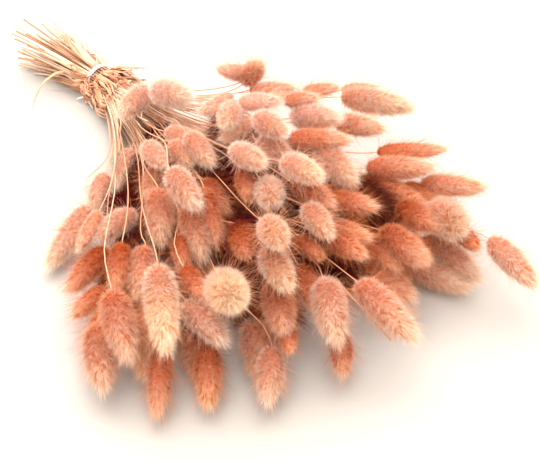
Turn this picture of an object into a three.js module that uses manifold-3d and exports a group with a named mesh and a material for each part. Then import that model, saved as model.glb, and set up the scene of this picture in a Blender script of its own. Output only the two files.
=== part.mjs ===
// A tied bunch of dried bunny tail grass that lies on a flat surface.
// Millimetres, +Z up. The origin is on the surface, right under the string. The cut ends of the stems
// point along +Y, and the soft oval heads fan out along -Y.
import * as THREE from "three";
import { mergeVertices } from "three/addons/utils/BufferGeometryUtils.js";
import Module from "manifold-3d";

const wasm = await Module();
wasm.setup();

// Driving dimensions
const NECK_RADIUS = 12.5; // of the round bundle of stems under the string
const NECK_HALF_LENGTH = 12; // the stems run side by side this far in front of and behind the string
const STEM_RADIUS = [0.95, 0.7]; // at the neck and at the head
const CORE_RADIUS = 12; // the stems are pressed together into one body of this radius under the string
const STRING_RADIUS = 0.6;
const STRING_TURNS = 3;
const STRING_GAP = 0.5; // between the neck and the string
const PRESSED_FLAT = 0.35; // how far the string and the lowest heads are pressed flat where they rest
const KNOT_ANGLE = 205; // round the neck from +X towards +Z
const KNOT_RADIUS = 1.8;
const TAIL_ENDS = [
  [-16, -10, 1],
  [-18, 8, 2],
];
const CUT_LENGTH = [56, 88]; // of the stems behind the string, shortest and longest
const CUT_SPREAD = 1.25; // how much further apart the stems are at their cut ends
const DENSE = 0.98; // of a head's fluffy width that is dense enough to be solid
const TUFT = 0.06; // how far the longest tufts stand out of a head, as a share of its half width
const HEAD_LENGTH = 2.0; // least length of a head, in widths
const HEAD_GAP = 0.5; // between two heads that only touch by their hairs
const PRESSED = [0.48, 0.64]; // distance between the axes of two heads pressed together, in half widths
const STEM_CLEARANCE = 1.2; // between a stem and a head that it passes
const SEAT_GAP = 0.3; // between a stem's tip and the head that it carries
const AXIS_HEIGHT = NECK_RADIUS + STRING_GAP + 2 * STRING_RADIUS - PRESSED_FLAT; // of the neck

const HIDDEN_WIDTH = 21; // of the heads that lie under and behind the others
const HIDDEN_LENGTH = 44;

// The photograph's camera. Pixels are x to the right and y down, in its 540 x 476 frame.
const FOCAL = 1225; // pixels
const CENTRE = [270, 238];
const AZIMUTH = -41;
const ELEVATION = 38;
const ORIGIN_PIXEL = [103, 97];
const ORIGIN_DEPTH = 940;

const turn = THREE.MathUtils.degToRad;
const vector = (x, y, z) => new THREE.Vector3(x, y, z);
const forward = vector(
  -Math.sin(turn(AZIMUTH)) * Math.cos(turn(ELEVATION)),
  Math.cos(turn(AZIMUTH)) * Math.cos(turn(ELEVATION)),
  -Math.sin(turn(ELEVATION)),
);
const rightward = vector(Math.cos(turn(AZIMUTH)), Math.sin(turn(AZIMUTH)), 0);
const upward = rightward.clone().cross(forward);

// The direction through a pixel, one unit deep.
function ray([x, y]) {
  return forward
    .clone()
    .addScaledVector(rightward, (x - CENTRE[0]) / FOCAL)
    .addScaledVector(upward, (CENTRE[1] - y) / FOCAL);
}

const eye = ray(ORIGIN_PIXEL).multiplyScalar(-ORIGIN_DEPTH);
const depthOf = (point) => point.clone().sub(eye).dot(forward);
const atDepth = (pixel, depth) => eye.clone().addScaledVector(ray(pixel), depth);
const atHeight = (pixel, height) => atDepth(pixel, (height - eye.z) / ray(pixel).z);

// A repeatable number from 0 to 1 for each whole number.
function chance(n) {
  const wide = Math.sin(n * 12.9898 + 4.1414) * 43758.5453;
  return wide - Math.floor(wide);
}

// The heads, row by row from the string outwards: name, pixels of the base and the tip, width in pixels,
// height of the base above the surface, and the head that it is pressed against, if any.
const SEEN = [
  ["a1", [147, 90], [120, 116], 27, 45],
  ["a2", [156, 90], [190, 98], 32, 52],
  ["a3", [131, 150], [117, 187], 20, 30],
  ["a4", [105, 175], [93, 213], 24, 22],
  ["a5", [88, 208], [48, 268], 28, 20],
  ["a6", [98, 212], [78, 252], 18, 30, "a7"],
  ["a7", [133, 214], [96, 238], 28, 45],
  ["a8", [148, 146], [162, 165], 24, 48],
  ["a9", [156, 170], [147, 196], 22, 42],
  ["a10", [168, 132], [200, 142], 22, 55],
  ["a11", [190, 135], [213, 165], 26, 60],
  ["a12", [172, 145], [190, 165], 22, 45, "a11"],
  ["a13", [172, 172], [197, 207], 30, 60],
  ["a14", [158, 192], [162, 245], 32, 50],
  ["a15", [190, 208], [203, 262], 34, 60],
  ["a15b", [205, 190], [218, 245], 24, 50, "a15"],
  ["a16", [205, 182], [228, 212], 24, 48],
  ["b1a", [247, 75], [216, 68], 20, 68],
  ["b1b", [246, 80], [260, 64], 24, 66, "b1a"],
  ["b2", [232, 96], [198, 114], 18, 72],
  ["b3", [232, 108], [226, 126], 27, 72],
  ["b4", [250, 90], [297, 88], 18, 62],
  ["b5", [240, 103], [281, 101], 22, 72],
  ["b6", [258, 118], [284, 133], 27, 75],
  ["b7", [250, 122], [222, 140], 22, 62, "b3"],
  ["b8", [295, 118], [340, 118], 32, 72],
  ["b8b", [286, 100], [318, 98], 20, 62, "b8"],
  ["b9", [303, 93], [340, 87], 18, 60],
  ["b10", [343, 97], [415, 108], 30, 55],
  ["b10b", [342, 90], [377, 87], 14, 45, "b10"],
  ["b11", [335, 122], [385, 130], 26, 60],
  ["b12", [262, 142], [290, 158], 28, 66],
  ["b13", [235, 150], [263, 165], 28, 72],
  ["b14", [286, 162], [320, 178], 30, 76],
  ["b15", [320, 152], [355, 185], 34, 74],
  ["b16", [270, 186], [276, 202], 33, 72],
  ["b17", [240, 172], [246, 200], 22, 55, "b16"],
  ["b18", [298, 185], [332, 205], 30, 64],
  ["b19", [290, 138], [350, 140], 24, 62, "b15"],
  ["b20", [262, 92], [290, 100], 16, 66, "b4"],
  ["c1", [378, 152], [447, 150], 20, 50],
  ["c2", [368, 168], [434, 168], 28, 52],
  ["c3", [422, 184], [487, 188], 26, 40],
  ["c4", [362, 180], [425, 205], 28, 42, "c2"],
  ["c5", [438, 211], [460, 232], 40, 42],
  ["c6", [385, 232], [427, 262], 34, 42],
  ["c7", [328, 200], [377, 208], 28, 58],
  ["c8", [325, 228], [370, 238], 26, 50],
  ["c9", [405, 185], [438, 200], 18, 38, "c3"],
  ["c10", [425, 240], [480, 280], 34, 24],
  ["c11", [460, 232], [478, 249], 20, 28, "c5"],
  ["c12", [491, 240], [537, 287], 30, 38],
  ["c13", [365, 240], [398, 272], 28, 34, "c6"],
  ["c14", [400, 208], [436, 228], 28, 34, "c5"],
  ["d1", [105, 250], [68, 292], 28, 30],
  ["d2", [103, 290], [72, 318], 24, 24],
  ["d3", [102, 315], [88, 345], 20, 16, "d5"],
  ["d4", [112, 294], [128, 360], 38, 45],
  ["d5", [98, 327], [103, 390], 38, 30],
  ["d6", [148, 250], [140, 298], 30, 50],
  ["d7", [158, 268], [166, 352], 38, 58],
  ["d8", [162, 350], [157, 417], 28, 20],
  ["d9", [208, 345], [208, 408], 32, 22],
  ["d10", [188, 305], [225, 345], 34, 46],
  ["d11", [118, 245], [112, 290], 26, 34, "d6"],
  ["e1", [222, 284], [234, 302], 44, 48],
  ["e2", [268, 225], [281, 243], 32, 66],
  ["e3", [240, 228], [246, 256], 30, 56],
  ["e4", [268, 252], [288, 288], 34, 58],
  ["e5", [262, 250], [266, 273], 20, 45, "e4"],
  ["e6", [275, 285], [284, 332], 38, 50],
  ["e7", [285, 325], [290, 352], 22, 24, "e6"],
  ["e8", [308, 208], [330, 236], 28, 60],
  ["e9", [298, 240], [322, 258], 22, 50],
  ["e10", [325, 282], [337, 345], 38, 50],
  ["e11", [340, 335], [343, 376], 26, 18],
  ["e12", [360, 284], [416, 340], 36, 46],
  ["e13", [272, 350], [268, 405], 32, 24],
  ["e14", [185, 268], [205, 300], 24, 38, "d10"],
  ["e15", [178, 238], [184, 272], 22, 42, "a15"],
  ["e16", [300, 268], [318, 310], 28, 36, "e10"],
  ["e17", [330, 238], [364, 256], 26, 48, "c8"],
];

// The heads under and behind those: direction of the base from the string, in degrees from -Y towards
// +X, its distance and its height, how far the head turns aside from that direction and how far it
// rises, in degrees, and its size.
const HIDDEN = [
  [-18, 301, 16, -11, -8, 1.03],
  [-10, 180, 39, -15, -1, 1],
  [5.9, 246, 35.2, -14, 3.1, 1.07],
  [-30, 167, 22, 3, 1, 1.06],
  [-29, 278, 19, -11, -5, 1.08],
  [-2, 297, 25, -3, -2, 0.96],
  [-4, 277, 12, 15, 0, 1],
  [-16, 269, 17, -15, -5, 0.98],
  [-17, 237, 21, 12, 6, 1.06],
  [-6, 252, 20, 13, 2, 1.06],
  [-4, 222, 35, -5, -5, 1.04],
  [-11, 204, 28, 6, -4, 1],
  [4, 299, 10.4, 9, 0, 1.05],
  [-24, 284, 9.8, -9, 0, 0.97],
  [-8, 155, 38, 3, -4, 1.04],
  [-23, 198, 28, -9, 2, 0.97],
  [-4, 206, 44, -8, 5, 1],
  [5, 248, 26, 1, -4, 1.04],
  [-26, 115, 17, 11, -5, 0.98],
  [-11, 136, 27, 1, 1, 1],
  [-5, 151, 42, 10, 6, 1],
  [-13, 102, 26, 3, -4, 1.03],
  [-15, 271, 18, 11, 2, 0.93],
  [-18, 226, 12, -5, 0, 1],
  [-25, 255, 18, 12, 4, 1.07],
  [3, 219, 36, -1, -8, 1.01],
  [0, 141, 49, 1, -4, 0.99],
  [-30, 255, 10.1, -10, 0, 1],
  [5.9, 270.5, 12, 3, -1, 1.01],
  [-33, 224, 10, 6, 0, 0.99],
  [5, 192, 41, -2, 2, 1],
];

// A head is its axis from base to tip and its dense half width.
function seenHead([name, basePixel, tipPixel, pixels, height, pressed]) {
  const base = atHeight(basePixel, height);
  const depth = depthOf(base);
  const width = (pixels * depth) / FOCAL;
  const shortening = 0.15; // most that a head which hangs towards the camera loses of its length
  const seen = Math.hypot(tipPixel[0] - basePixel[0], tipPixel[1] - basePixel[1]);
  const downward = Math.max(0, (tipPixel[1] - basePixel[1]) / seen);
  const length = Math.max(((seen * depth) / FOCAL) * (1 + shortening * downward), HEAD_LENGTH * width);
  const line = ray(tipPixel);
  const offset = eye.clone().sub(base);
  const [a, b, c] = [line.dot(line), offset.dot(line), offset.dot(offset) - length * length];
  const tipDepth = (-b - Math.sqrt(Math.max(0, b * b - a * c))) / a;
  const tip = atDepth(tipPixel, tipDepth);
  return { name, base, tip, radius: (width * DENSE) / 2, pressed: pressed ? [pressed] : [] };
}

// The nearest points of two heads' axes, each kept a radius inside its ends.
function between(one, other) {
  const rounds = 4;
  const line = new THREE.Line3(...inner(one));
  const second = new THREE.Line3(...inner(other));
  const near = vector();
  const far = second.at(0.5, vector());
  for (let round = 0; round < rounds; round++) {
    line.closestPointToPoint(far, true, near);
    second.closestPointToPoint(near, true, far);
  }
  return { apart: near.clone().sub(far), distance: near.distanceTo(far) };
}

function inner({ base, tip, radius }) {
  const along = tip.clone().sub(base).normalize().multiplyScalar(radius);
  return [base.clone().add(along), tip.clone().sub(along)];
}

const arePressed = (one, other) => one.pressed.includes(other.name) || other.pressed.includes(one.name);

// The heads settle: those that would run into each other part, and pressed ones meet. Each one keeps
// to its place in the photograph and mostly gives way in depth.
function settle(heads) {
  const rounds = 220;
  const ease = 0.3;
  const hold = 0.25;
  const tipRise = 0.3; // the tip is this much slimmer than the middle, in half widths
  const homes = heads.map((head) => head.base.clone());
  for (let round = 0; round < rounds; round++) {
    const moves = heads.map(() => vector());
    for (let i = 0; i < heads.length; i++) {
      for (let j = 0; j < i; j++) {
        const { apart, distance } = between(heads[i], heads[j]);
        const widths = heads[i].radius + heads[j].radius;
        const pressed = arePressed(heads[i], heads[j]);
        const missing = pressed ? widths * PRESSED[1] - distance : widths + HEAD_GAP - distance;
        if (!pressed && missing < 0) continue;
        apart.multiplyScalar((ease * missing) / Math.max(distance, 0.01));
        moves[i].add(apart);
        moves[j].sub(apart);
      }
    }
    heads.forEach((head, k) => {
      const move = moves[k];
      const base = head.base.clone().add(move);
      const tipHeight = head.tip.z + move.z + tipRise * head.radius;
      const low = Math.min(base.z, tipHeight) - head.radius + PRESSED_FLAT;
      if (low < 0) move.z -= low;
      const strayed = head.base.clone().add(move).sub(homes[k]);
      const sight = head.base.clone().sub(eye).normalize();
      move.addScaledVector(strayed.addScaledVector(sight, -strayed.dot(sight)), -hold);
      head.base.add(move);
      head.tip.add(move);
    });
  }
  for (const one of heads) {
    for (const other of heads) {
      if (one === other || arePressed(one, other)) continue;
      const share = (between(one, other).distance - HEAD_GAP) / (one.radius + other.radius);
      if (share < 1) [one, other].forEach((head) => (head.radius *= share));
    }
  }
  return heads;
}

function hiddenHead([direction, reach, height, sway, rise, size], n) {
  const [heading, facing] = [turn(direction), turn(direction + sway)];
  const base = vector(reach * Math.sin(heading), -reach * Math.cos(heading), height);
  const along = vector(Math.sin(facing), -Math.cos(facing), Math.tan(turn(rise))).normalize();
  const tip = base.clone().addScaledVector(along, HIDDEN_LENGTH * size);
  return { name: `f${n + 1}`, base, tip, radius: (HIDDEN_WIDTH * size) / 2, hidden: true };
}

// The seen heads and the hidden ones, each of which is pressed against those that it meets.
function fill(seen) {
  const heads = [...seen];
  for (const head of HIDDEN.map(hiddenHead)) {
    const isMet = (other) => {
      const share = between(head, other).distance / (head.radius + other.radius);
      return share > PRESSED[0] && share < PRESSED[1];
    };
    head.pressed = heads.filter(isMet).map((other) => other.name);
    heads.push(head);
  }
  return heads;
}

const heads = fill(settle(SEEN.map(seenHead)));

// Half widths along a head, from its seat on the stem to its tip, as shares of the full half width.
const PROFILE = [0.42, 0.86, 1, 0.98, 0.88, 0.64];
const HIDDEN_PROFILE = [0.46, 0.98, 1, 0.7];
const FULL_HEAD = 10; // half width from which a head has more tufts around

// A closed body of rings around an axis, with a point or a flat cap at each end.
function ringBody(rings, capStart, capEnd) {
  const around = rings[0].length;
  const points = [...rings.flat(), capStart, capEnd];
  const faces = [];
  const [start, end] = [points.length - 2, points.length - 1];
  for (let j = 0; j < around; j++) {
    const next = (j + 1) % around;
    faces.push(start, next, j);
    const last = (rings.length - 1) * around;
    faces.push(end, last + j, last + next);
    for (let k = 0; k + 1 < rings.length; k++) {
      const [a, b] = [k * around + j, k * around + next];
      const [c, d] = [a + around, b + around];
      if ((j + k) % 2 === 0) faces.push(a, b, c, b, d, c);
      else faces.push(a, b, d, a, d, c);
    }
  }
  const geometry = new THREE.BufferGeometry();
  geometry.setAttribute("position", new THREE.Float32BufferAttribute(points.flatMap((p) => p.toArray()), 3));
  geometry.setIndex(faces);
  return geometry;
}

// Two directions square to an axis and to each other.
function squareTo(along) {
  const side = vector(0, 0, 1).cross(along);
  if (side.length() < 0.05) side.set(1, 0, 0);
  side.normalize();
  return [side, along.clone().cross(side).normalize()];
}

// An oval head. Every second point of its rings stands out and leans to the tip, as the soft tufts of
// awned spikelets do.
function headGeometry({ base, tip, radius, hidden }, seed) {
  const tuftDepth = 0.16;
  const lean = 0.35; // of the step between two rings
  const uneven = 0.2; // of the step between two points of a ring
  const around = radius > FULL_HEAD && !hidden ? 8 : 6;
  const profile = hidden ? HIDDEN_PROFILE : PROFILE;
  const along = tip.clone().sub(base);
  const length = along.length();
  along.normalize();
  const [side, across] = squareTo(along);
  const step = length / (profile.length + lean);
  const rings = profile.map((share, k) =>
    Array.from({ length: around }, (_, j) => {
      const tuft = k > 0 && (j + k) % 2 === 0;
      const wide = radius * share * (tuft ? 1 + TUFT * chance(seed + 8 * k + j) : 1 - tuftDepth);
      const angle = ((j + uneven * chance(seed + 70 + j)) / around) * 2 * Math.PI;
      return base
        .clone()
        .addScaledVector(along, step * (k + (tuft ? lean : 0)))
        .addScaledVector(side, wide * Math.cos(angle))
        .addScaledVector(across, wide * Math.sin(angle));
    }),
  );
  return ringBody(rings, base.clone(), tip.clone());
}

// A stem with three sides through the given points, thinner towards the last one.
function stemGeometry(points, extra = 0) {
  const rings = points.map((point, k) => {
    const radius = extra + THREE.MathUtils.lerp(...STEM_RADIUS, k / (points.length - 1));
    const before = points[Math.max(0, k - 1)];
    const after = points[Math.min(points.length - 1, k + 1)];
    const [side, across] = squareTo(after.clone().sub(before).normalize());
    return [0, 1, 2].map((j) =>
      point
        .clone()
        .addScaledVector(side, radius * Math.cos((j * 2 * Math.PI) / 3))
        .addScaledVector(across, radius * Math.sin((j * 2 * Math.PI) / 3)),
    );
  });
  return ringBody(rings, points[0].clone(), points.at(-1).clone());
}

function solid(geometry) {
  const bare = geometry.clone();
  bare.deleteAttribute("normal");
  bare.deleteAttribute("uv");
  const merged = mergeVertices(bare, 1e-5);
  return new wasm.Manifold(
    new wasm.Mesh({
      numProp: 3,
      vertProperties: new Float32Array(merged.attributes.position.array),
      triVerts: new Uint32Array(merged.index.array),
    }),
  );
}

function geometryOf(body) {
  const mesh = body.getMesh();
  const geometry = new THREE.BufferGeometry();
  geometry.setAttribute("position", new THREE.BufferAttribute(mesh.vertProperties, 3));
  geometry.setIndex(new THREE.BufferAttribute(mesh.triVerts, 1));
  return geometry;
}

const joined = (bodies) => wasm.Manifold.union(bodies);

// What the bunch lies on, down to a little way below.
const surface = solid(new THREE.BoxGeometry(600, 800, 20).translate(0, -150, -10));

// The body without needless points and loose scraps.
function cleaned(body) {
  const tolerance = 0.1;
  const scrap = 1; // cubic millimetres
  const pieces = body.asOriginal().simplify(tolerance).decompose();
  return joined(pieces.filter((piece) => piece.volume() > scrap));
}

// Where each stem passes through the neck: places spread evenly over the round bundle, given to the
// stems so that those that fan out side by side also lie side by side.
function neckPlaces() {
  const golden = Math.PI * (3 - Math.sqrt(5));
  const room = NECK_RADIUS - STEM_RADIUS[0];
  const count = heads.length;
  const places = heads.map((head, k) => {
    const out = room * Math.sqrt((k + 0.5) / count);
    return vector(out * Math.cos(k * golden), 0, out * Math.sin(k * golden));
  });
  const ranked = (value) => {
    const order = heads.map((head, k) => k).sort((i, j) => value(heads[i]) - value(heads[j]));
    const rank = [];
    order.forEach((k, n) => (rank[k] = (2 * (n + 0.5)) / count - 1));
    return rank;
  };
  const across = ranked(({ base }) => Math.atan2(base.x, -base.y));
  const upright = ranked(({ base }) => (base.z - AXIS_HEIGHT) / base.length());
  const wanted = heads.map((head, k) => {
    const [u, v] = [across[k], upright[k]];
    return vector(room * u * Math.sqrt(1 - (v * v) / 2), 0, room * v * Math.sqrt(1 - (u * u) / 2));
  });
  const miss = (k, n) => wanted[k].distanceToSquared(places[n]);
  const rounds = 30;
  for (let round = 0; round < rounds; round++) {
    for (let i = 0; i < count; i++) {
      for (let j = 0; j < i; j++) {
        if (miss(i, j) + miss(j, i) >= miss(i, i) + miss(j, j)) continue;
        [places[i], places[j]] = [places[j], places[i]];
      }
    }
  }
  return places.map((place) => place.setZ(place.z + AXIS_HEIGHT));
}

// A stem's path from the neck to its head.
function freePath(head, neck) {
  const steps = 16;
  const spray = 0.4; // how far a stem keeps to the line of the neck as it leaves it
  const [leaveShare, sagShare] = [0.45, 0.12]; // of the stem's length, and of its climb
  const [arriveShare, arriveMost, arriveLeast] = [0.3, 28, 0.3];
  const along = head.tip.clone().sub(head.base).normalize();
  const end = head.base.clone().addScaledVector(along, -SEAT_GAP);
  const start = neck.clone().setY(-NECK_HALF_LENGTH);
  const span = start.distanceTo(end);
  const onward = end.clone().sub(start).normalize();
  const leave = onward.clone().lerp(vector(0, -1, 0), spray).setZ(0);
  const turned = THREE.MathUtils.lerp(arriveLeast, 1, Math.max(0, along.dot(onward)));
  const back = along.clone().multiplyScalar(-turned * Math.min(arriveMost, span * arriveShare));
  back.z -= sagShare * Math.max(0, end.z - start.z);
  const curve = new THREE.CubicBezierCurve3(
    start,
    start.clone().addScaledVector(leave, span * leaveShare),
    end.clone().add(back),
    end,
  );
  return curve.getPoints(steps);
}

// The path bent clear of the heads that it passes, and eased so that it stays an even curve.
function bentPath(head, neck) {
  const rounds = 120;
  const ease = 0.3;
  const reach = 30; // from which a head can come into the way
  const accuracy = head.hidden ? 3.5 : 2; // finer where it shows
  const path = freePath(head, neck);
  const lines = heads.map((other) => new THREE.Line3(...inner(other)));
  const distance = (n, point, near) => lines[n].closestPointToPoint(point, true, near).distanceTo(point);
  const passed = heads
    .map((other, n) => n)
    .filter((n) => heads[n] !== head && path.some((point) => distance(n, point, vector()) < reach));
  const near = vector();
  for (let round = 0; round < rounds; round++) {
    const before = path.map((point) => point.clone());
    for (let k = 2; k + 2 < path.length; k++) {
      const even = before[k - 1]
        .clone()
        .add(before[k + 1])
        .multiplyScalar(4)
        .sub(before[k - 2])
        .sub(before[k + 2])
        .divideScalar(6);
      const push = vector();
      for (const n of passed) {
        const wanted = heads[n].radius * (1 + TUFT) + STEM_RADIUS[0] + STEM_CLEARANCE;
        const far = distance(n, before[k], near);
        if (far < wanted) push.addScaledVector(before[k].clone().sub(near), wanted / far - 1);
      }
      path[k].lerp(even, ease).add(push);
      path[k].z = Math.max(path[k].z, STEM_RADIUS[0] + SEAT_GAP);
    }
  }
  return thinned(path, accuracy);
}

// The same path with only the points that it needs to stay within the given distance.
function thinned(path, reach) {
  if (path.length < 3) return path;
  const line = new THREE.Line3(path[0], path.at(-1));
  const away = path.map((point) => line.closestPointToPoint(point, true, vector()).distanceTo(point));
  const worst = away.indexOf(Math.max(...away));
  if (away[worst] < reach) return [path[0], path.at(-1)];
  return [...thinned(path.slice(0, worst + 1), reach).slice(0, -1), ...thinned(path.slice(worst), reach)];
}

// The stretch behind the string, which flares to the cut end.
function cutPath(neck, k) {
  const length = THREE.MathUtils.lerp(...CUT_LENGTH, chance(k + 200));
  const sway = 3;
  const lean = 8; // of the whole brush of cut ends, towards -X
  const pressing = 0.25; // what is left of the drop of a stem that would run under the surface
  const share = length / CUT_LENGTH[1];
  const spread = 1 + CUT_SPREAD * share;
  const end = vector(
    neck.x * spread + sway * (chance(k + 400) - 0.5) - lean * share,
    length,
    AXIS_HEIGHT + (neck.z - AXIS_HEIGHT) * spread + sway * (chance(k + 500) - 0.5),
  );
  const lowest = STEM_RADIUS[0] + SEAT_GAP;
  if (end.z < lowest) end.z = lowest + pressing * (lowest - end.z);
  return [end, neck.clone().setY(NECK_HALF_LENGTH)];
}

const necks = neckPlaces();
const paths = heads.map((head, k) => bentPath(head, necks[k]));

// A dried leaf blade: a thin ribbon through the given points, that turns about its own length.
function bladeGeometry(points, width, twist) {
  const thickness = 0.7;
  const narrowing = 0.75; // of the width, at the tip
  const startTwist = 0.3; // of the twist, at the foot
  const rings = points.map((point, k) => {
    const share = k / (points.length - 1);
    const before = points[Math.max(0, k - 1)];
    const after = points[Math.min(points.length - 1, k + 1)];
    const along = after.clone().sub(before).normalize();
    const turned = twist * (startTwist + share);
    const [side, across] = squareTo(along).map((way) => way.applyAxisAngle(along, turned));
    const half = (width / 2) * (1 - narrowing * share * share);
    return [
      [1, 1],
      [-1, 1],
      [-1, -1],
      [1, -1],
    ].map(([u, v]) =>
      point
        .clone()
        .addScaledVector(side, u * half)
        .addScaledVector(across, (v * thickness) / 2),
    );
  });
  return ringBody(rings, points[0].clone(), points.at(-1).clone());
}

// The crumpled leaf sheaths round the neck: each one starts under the string and peels away.
function ruffBlades() {
  const count = 8;
  const around = [-20, 230]; // the first one's place and the whole spread, in degrees
  const jitter = 0.6;
  const [foot, depth] = [5, 1]; // from the string, and below the skin of the core
  const [lengths, lifts, widths] = [[22, 42], [3, 11], [5, 9]];
  const [arch, flare, curl, twist] = [2.4, 4, 3, 3];
  return Array.from({ length: count }, (_, k) => {
    const place = turn(around[0] + (around[1] * (k + jitter * chance(k + 600))) / count);
    const out = vector(Math.cos(place), 0, Math.sin(place));
    const length = THREE.MathUtils.lerp(...lengths, chance(k + 610));
    const lift = THREE.MathUtils.lerp(...lifts, chance(k + 620));
    const heading = k % 5 === 4 ? 1 : -1;
    const width = THREE.MathUtils.lerp(...widths, chance(k + 630));
    const points = [0, 0.25, 0.5, 0.75, 1].map((share) => {
      const away = CORE_RADIUS - depth + lift * Math.sin(arch * share) + flare * share * share;
      const aside = curl * share * Math.sin(5 * share + k);
      return vector(aside, heading * (foot + length * share), AXIS_HEIGHT).addScaledVector(out, away);
    });
    return bladeGeometry(points, width, twist * (chance(k + 640) - 0.5));
  });
}

// Every third stem is broken off short under the string, where the others cover its end.
const hasCutEnd = (k) => k % 3 !== 2;
const stemPoints = (k) => [...(hasCutEnd(k) ? cutPath(necks[k], k) : [necks[k]]), ...paths[k]];

function strawBody() {
  const stems = heads.map((head, k) => stemGeometry(stemPoints(k)));
  const core = new THREE.CylinderGeometry(CORE_RADIUS, CORE_RADIUS, NECK_HALF_LENGTH, 16);
  core.translate(0, 0, AXIS_HEIGHT);
  return cleaned(joined([...stems, ...ruffBlades(), core].map(solid)));
}

// Heads pressed into one another, with a groove where another tail's stem runs through their hairs.
function headsBody(node) {
  const body = joined(node.map((head) => solid(headGeometry(head, 100 * heads.indexOf(head)))));
  const grooves = wideStems.filter((stem, k) => nearStems[k].intersect(body).volume() > 0);
  return cleaned(body.subtract(joined([surface, ...grooves])));
}

// Turns of string side by side round the neck, with a knot and two short tails.
function stringBody() {
  const inside = NECK_RADIUS + STRING_GAP;
  const outline = [new THREE.Vector2(inside, STRING_TURNS * STRING_RADIUS)];
  outline.push(new THREE.Vector2(inside, -STRING_TURNS * STRING_RADIUS));
  for (let n = 0; n <= 2 * STRING_TURNS; n++) {
    const bulge = n % 2 === 0 ? 1.5 : 2;
    outline.push(new THREE.Vector2(inside + bulge * STRING_RADIUS, (n - STRING_TURNS) * STRING_RADIUS));
  }
  outline.push(outline[0].clone());
  const ring = new THREE.LatheGeometry(outline, 18);
  const place = turn(KNOT_ANGLE);
  const out = vector(Math.cos(place), 0, Math.sin(place));
  const knot = out.clone().multiplyScalar(inside + 1.5 * STRING_RADIUS);
  knot.z += AXIS_HEIGHT;
  const lump = new THREE.IcosahedronGeometry(KNOT_RADIUS, 0);
  ring.translate(0, 0, AXIS_HEIGHT);
  lump.translate(...knot.toArray());
  const tails = TAIL_ENDS.map((end) => {
    const middle = knot.clone().lerp(vector(...end), 0.5).addScaledVector(out, KNOT_RADIUS);
    return stringTail([knot, middle, vector(...end)]);
  });
  return cleaned(joined([ring, lump, ...tails].map(solid)).subtract(surface));
}

function stringTail(points) {
  const rings = points.map((point, k) => {
    const along = points[Math.min(points.length - 1, k + 1)].clone().sub(points[Math.max(0, k - 1)]);
    const [side, across] = squareTo(along.normalize());
    return [0, 1, 2, 3].map((j) =>
      point
        .clone()
        .addScaledVector(side, STRING_RADIUS * Math.cos((j * Math.PI) / 2))
        .addScaledVector(across, STRING_RADIUS * Math.sin((j * Math.PI) / 2)),
    );
  });
  return ringBody(rings, points[0].clone(), points.at(-1).clone());
}

const COLOURS = { head: 0xe39a7e, straw: 0xd9bb8c, string: 0xf0e6d6 };

function mesh(name, body, colour) {
  const material = new THREE.MeshStandardMaterial({ color: colour, roughness: 0.95, metalness: 0 });
  const made = new THREE.Mesh(geometryOf(body), material);
  made.name = name;
  return made;
}

// Heads that are pressed into one another share a node.
function headNodes() {
  let nodes = [];
  for (const head of heads) {
    const touching = nodes.filter((node) => node.some((one) => arePressed(one, head)));
    nodes = nodes.filter((node) => !touching.includes(node));
    nodes.push([...touching.flat(), head].sort((a, b) => heads.indexOf(a) - heads.indexOf(b)));
  }
  return nodes;
}

const nearStems = paths.map((path) => solid(stemGeometry(path, 0.5 * SEAT_GAP)));
const wideStems = paths.map((path) => solid(stemGeometry(path, 2 * SEAT_GAP)));

const bunch = new THREE.Group();
const straw = strawBody();
bunch.add(mesh("stems_and_leaves", straw, COLOURS.straw));
bunch.add(mesh("string", stringBody(), COLOURS.string));
for (const node of headNodes()) {
  bunch.add(mesh(`heads_${node[0].name}`, headsBody(node), COLOURS.head));
}

export default bunch;
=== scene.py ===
import math
from functools import partial

import bpy
import numpy as np
from mathutils import Matrix


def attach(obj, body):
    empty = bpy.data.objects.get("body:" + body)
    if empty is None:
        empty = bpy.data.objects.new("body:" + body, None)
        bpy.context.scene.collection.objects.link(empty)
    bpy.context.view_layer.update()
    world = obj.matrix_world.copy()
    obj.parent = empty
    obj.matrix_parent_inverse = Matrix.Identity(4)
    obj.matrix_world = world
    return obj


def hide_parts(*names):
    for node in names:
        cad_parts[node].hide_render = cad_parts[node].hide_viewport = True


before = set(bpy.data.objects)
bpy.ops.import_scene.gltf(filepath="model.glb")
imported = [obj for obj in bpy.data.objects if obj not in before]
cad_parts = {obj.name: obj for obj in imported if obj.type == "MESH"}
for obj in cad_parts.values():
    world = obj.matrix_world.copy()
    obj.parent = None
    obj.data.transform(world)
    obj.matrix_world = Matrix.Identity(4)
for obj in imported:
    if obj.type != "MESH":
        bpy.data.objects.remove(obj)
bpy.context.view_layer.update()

MM = 0.001

# Driving dimensions
NECK_RADIUS = 12.5
NECK_HALF_LENGTH = 12
STEM_RADIUS = (0.95, 0.7)  # at the neck and at the head
STRING_RADIUS = 0.6
STRING_TURNS = 3
STRING_GAP = 0.5
PRESSED_FLAT = 0.35
KNOT_ANGLE = 205
KNOT_RADIUS = 1.8
TAIL_ENDS = [(-16, -10, 1), (-18, 8, 2)]
CUT_LENGTH = (56, 88)
CUT_SPREAD = 1.25
DENSE = 0.98
TUFT = 0.06
HEAD_LENGTH = 2.0
HEAD_GAP = 0.5
PRESSED = (0.48, 0.64)
STEM_CLEARANCE = 1.2
SEAT_GAP = 0.3
AXIS_HEIGHT = NECK_RADIUS + STRING_GAP + 2 * STRING_RADIUS - PRESSED_FLAT

HIDDEN_WIDTH = 21
HIDDEN_LENGTH = 44

# The photograph's camera. Pixels are x to the right and y down, in its 540 x 476 frame.
FRAME_WIDTH = 540
FOCAL = 1225
CENTRE = (270, 238)
AZIMUTH = math.radians(-41)
ELEVATION = math.radians(38)
ORIGIN_PIXEL = (103, 97)
ORIGIN_DEPTH = 940

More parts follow.
